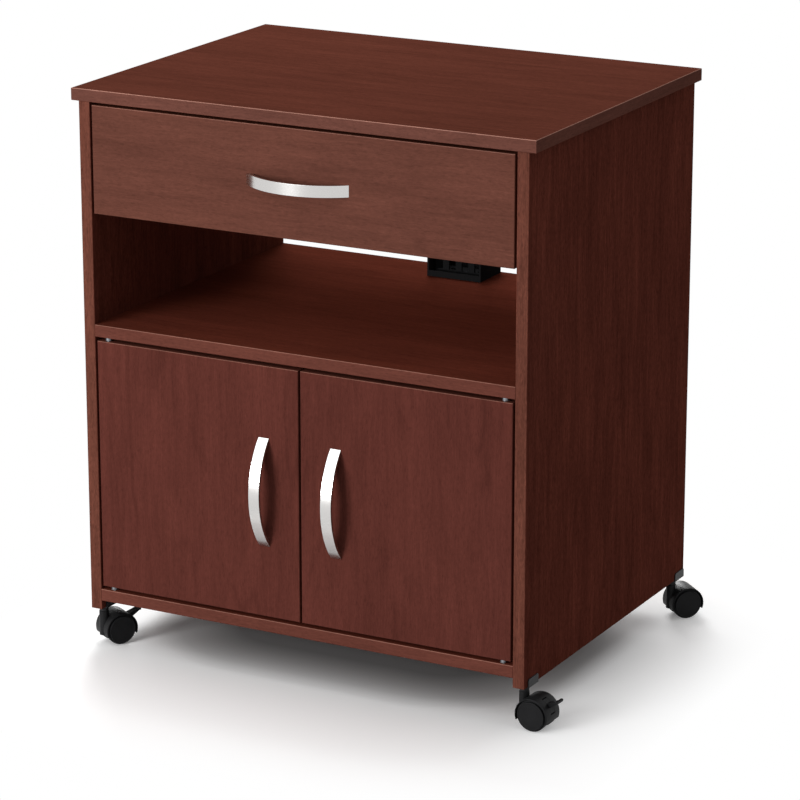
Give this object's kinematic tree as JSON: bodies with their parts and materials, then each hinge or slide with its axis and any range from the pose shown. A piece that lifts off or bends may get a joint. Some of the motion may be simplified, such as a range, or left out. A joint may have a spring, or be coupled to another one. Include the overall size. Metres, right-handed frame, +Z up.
{
  "type": "printer cart",
  "caption": "Rolling laminate cabinet for a printer, with a drawer, an open bay with a cable comb, a pair of doors over a loose shelf, and swivelling twin-wheel casters.",
  "frame": {"origin": "on the floor under the middle of the object's box, which is under the middle of the top", "axes": "+Z up, the drawer and doors face -Y, +X to the right as seen from the front"},
  "size_m": [0.7042, 0.5291, 0.744],
  "materials": {
    "cherry_laminate": "satin",
    "hardboard_brown": "satin",
    "hardboard_light": "matte",
    "drawer_board": "satin",
    "dowel_wood": "matte",
    "nickel": "satin",
    "zinc": "satin",
    "black_plastic": "satin",
    "white_plastic": "satin",
    "brown_plastic": "satin",
    "slide_paint": "satin",
    "grey_metal": "satin"
  },
  "bodies": {
    "cabinet": {"top_panel": "cherry_laminate", "side_panel_left": "cherry_laminate", "side_panel_right": "cherry_laminate", "bottom_panel": "cherry_laminate", "fixed_shelf": "cherry_laminate", "back_rail": "cherry_laminate", "back_panel": "hardboard_brown", "adjustable_shelf": "cherry_laminate", "shelf_pins": "zinc", "cam_locks": "zinc", "cam_bolts": "zinc", "wood_dowels": "dowel_wood", "cable_comb": "black_plastic", "comb_screws": "zinc", "magnet_catches": "brown_plastic", "pivot_bushings": "white_plastic", "slide_rail_left": "slide_paint", "slide_rail_right": "slide_paint", "caster_brackets": "grey_metal"},
    "drawer": {"drawer_front": "cherry_laminate", "drawer_side_left": "drawer_board", "drawer_side_right": "drawer_board", "drawer_back": "drawer_board", "drawer_bottom": "hardboard_light", "drawer_pull": "nickel", "drawer_pull_screws": "zinc", "drawer_runner_left": "slide_paint", "drawer_runner_right": "slide_paint"},
    "left_door": {"door_left": "cherry_laminate", "door_pivots_left": "zinc", "door_pull_left": "nickel", "door_pull_screws_left": "zinc", "strike_plate_left": "zinc"},
    "right_door": {"door_right": "cherry_laminate", "door_pivots_right": "zinc", "door_pull_right": "nickel", "door_pull_screws_right": "zinc", "strike_plate_right": "zinc"},
    "left_rail_roller": {"rail_roller_left": "white_plastic"},
    "left_runner_roller": {"runner_roller_left": "white_plastic"},
    "right_rail_roller": {"rail_roller_right": "white_plastic"},
    "right_runner_roller": {"runner_roller_right": "white_plastic"},
    "front_left_swivel": {"caster_hood_front_left": "black_plastic", "caster_axle_front_left": "zinc"},
    "front_left_wheel_a": {"wheel_front_left_a": "black_plastic"},
    "front_left_wheel_b": {"wheel_front_left_b": "black_plastic"},
    "front_left_pedal": {"brake_pedal_front_left": "black_plastic"},
    "front_right_swivel": {"caster_hood_front_right": "black_plastic", "caster_axle_front_right": "zinc"},
    "front_right_wheel_a": {"wheel_front_right_a": "black_plastic"},
    "front_right_wheel_b": {"wheel_front_right_b": "black_plastic"},
    "front_right_pedal": {"brake_pedal_front_right": "black_plastic"},
    "rear_left_swivel": {"caster_hood_rear_left": "black_plastic", "caster_axle_rear_left": "zinc"},
    "rear_left_wheel_a": {"wheel_rear_left_a": "black_plastic"},
    "rear_left_wheel_b": {"wheel_rear_left_b": "black_plastic"},
    "rear_right_swivel": {"caster_hood_rear_right": "black_plastic", "caster_axle_rear_right": "zinc"},
    "rear_right_wheel_a": {"wheel_rear_right_a": "black_plastic"},
    "rear_right_wheel_b": {"wheel_rear_right_b": "black_plastic"}
  },
  "joints": [
    {"name": "drawer_slide", "type": "slide", "parent": "cabinet", "child": "drawer", "axis": [0, -1, 0], "range_m": [0, 0.3]},
    {"name": "left_door_hinge", "type": "hinge", "parent": "cabinet", "child": "left_door", "pos_m": [-0.2825, -0.232, 0.2525], "axis": [0, 0, -1], "range_deg": [0, 110]},
    {"name": "right_door_hinge", "type": "hinge", "parent": "cabinet", "child": "right_door", "pos_m": [0.2825, -0.232, 0.2525], "axis": [0, 0, 1], "range_deg": [0, 110]},
    {"name": "left_rail_roller_spin", "type": "hinge", "parent": "cabinet", "child": "left_rail_roller", "pos_m": [-0.29285, -0.21, 0.6088], "axis": [1, 0, 0], "continuous": true},
    {"name": "left_runner_roller_spin", "type": "hinge", "parent": "drawer", "child": "left_runner_roller", "pos_m": [-0.29165, 0.164, 0.60865], "axis": [1, 0, 0], "continuous": true},
    {"name": "right_rail_roller_spin", "type": "hinge", "parent": "cabinet", "child": "right_rail_roller", "pos_m": [0.29285, -0.21, 0.6088], "axis": [1, 0, 0], "continuous": true},
    {"name": "right_runner_roller_spin", "type": "hinge", "parent": "drawer", "child": "right_runner_roller", "pos_m": [0.29165, 0.164, 0.60865], "axis": [1, 0, 0], "continuous": true},
    {"name": "front_left_swivel_turn", "type": "hinge", "parent": "cabinet", "child": "front_left_swivel", "pos_m": [-0.3065, -0.2225, 0.04], "axis": [0, 0, 1], "continuous": true},
    {"name": "front_left_wheel_a_spin", "type": "hinge", "parent": "front_left_swivel", "child": "front_left_wheel_a", "pos_m": [-0.29715, -0.20712, 0.0205], "axis": [-0.8545, 0.5195, 0], "continuous": true},
    {"name": "front_left_wheel_b_spin", "type": "hinge", "parent": "front_left_swivel", "child": "front_left_wheel_b", "pos_m": [-0.29715, -0.20712, 0.0205], "axis": [-0.8545, 0.5195, 0], "continuous": true},
    {"name": "front_left_pedal_press", "type": "hinge", "parent": "front_left_swivel", "child": "front_left_pedal", "pos_m": [-0.29091, -0.19687, 0.0325], "axis": [-0.8545, 0.5195, 0], "range_deg": [0, 20]},
    {"name": "front_right_swivel_turn", "type": "hinge", "parent": "cabinet", "child": "front_right_swivel", "pos_m": [0.3065, -0.2225, 0.04], "axis": [0, 0, 1], "continuous": true},
    {"name": "front_right_wheel_a_spin", "type": "hinge", "parent": "front_right_swivel", "child": "front_right_wheel_a", "pos_m": [0.32448, -0.22325, 0.0205], "axis": [0.0419, 0.9991, 0], "continuous": true},
    {"name": "front_right_wheel_b_spin", "type": "hinge", "parent": "front_right_swivel", "child": "front_right_wheel_b", "pos_m": [0.32448, -0.22325, 0.0205], "axis": [0.0419, 0.9991, 0], "continuous": true},
    {"name": "front_right_pedal_press", "type": "hinge", "parent": "front_right_swivel", "child": "front_right_pedal", "pos_m": [0.33647, -0.22376, 0.0325], "axis": [0.0419, 0.9991, 0], "range_deg": [0, 20]},
    {"name": "rear_left_swivel_turn", "type": "hinge", "parent": "cabinet", "child": "rear_left_swivel", "pos_m": [-0.3065, 0.221, 0.04], "axis": [0, 0, 1], "continuous": true},
    {"name": "rear_left_wheel_a_spin", "type": "hinge", "parent": "rear_left_swivel", "child": "rear_left_wheel_a", "pos_m": [-0.3245, 0.221, 0.0205], "axis": [0, -1, 0], "continuous": true},
    {"name": "rear_left_wheel_b_spin", "type": "hinge", "parent": "rear_left_swivel", "child": "rear_left_wheel_b", "pos_m": [-0.3245, 0.221, 0.0205], "axis": [0, -1, 0], "continuous": true},
    {"name": "rear_right_swivel_turn", "type": "hinge", "parent": "cabinet", "child": "rear_right_swivel", "pos_m": [0.3065, 0.221, 0.04], "axis": [0, 0, 1], "continuous": true},
    {"name": "rear_right_wheel_a_spin", "type": "hinge", "parent": "rear_right_swivel", "child": "rear_right_wheel_a", "pos_m": [0.31866, 0.23427, 0.0205], "axis": [-0.7373, 0.6756, 0], "continuous": true},
    {"name": "rear_right_wheel_b_spin", "type": "hinge", "parent": "rear_right_swivel", "child": "rear_right_wheel_b", "pos_m": [0.31866, 0.23427, 0.0205], "axis": [-0.7373, 0.6756, 0], "continuous": true}
  ],
  "couplings": [
    {"joint": "left_rail_roller_spin", "follows": "drawer_slide", "rad_per_m": 111.11},
    {"joint": "left_runner_roller_spin", "follows": "drawer_slide", "rad_per_m": 111.11},
    {"joint": "right_rail_roller_spin", "follows": "drawer_slide", "rad_per_m": 111.11},
    {"joint": "right_runner_roller_spin", "follows": "drawer_slide", "rad_per_m": 111.11}
  ]
}
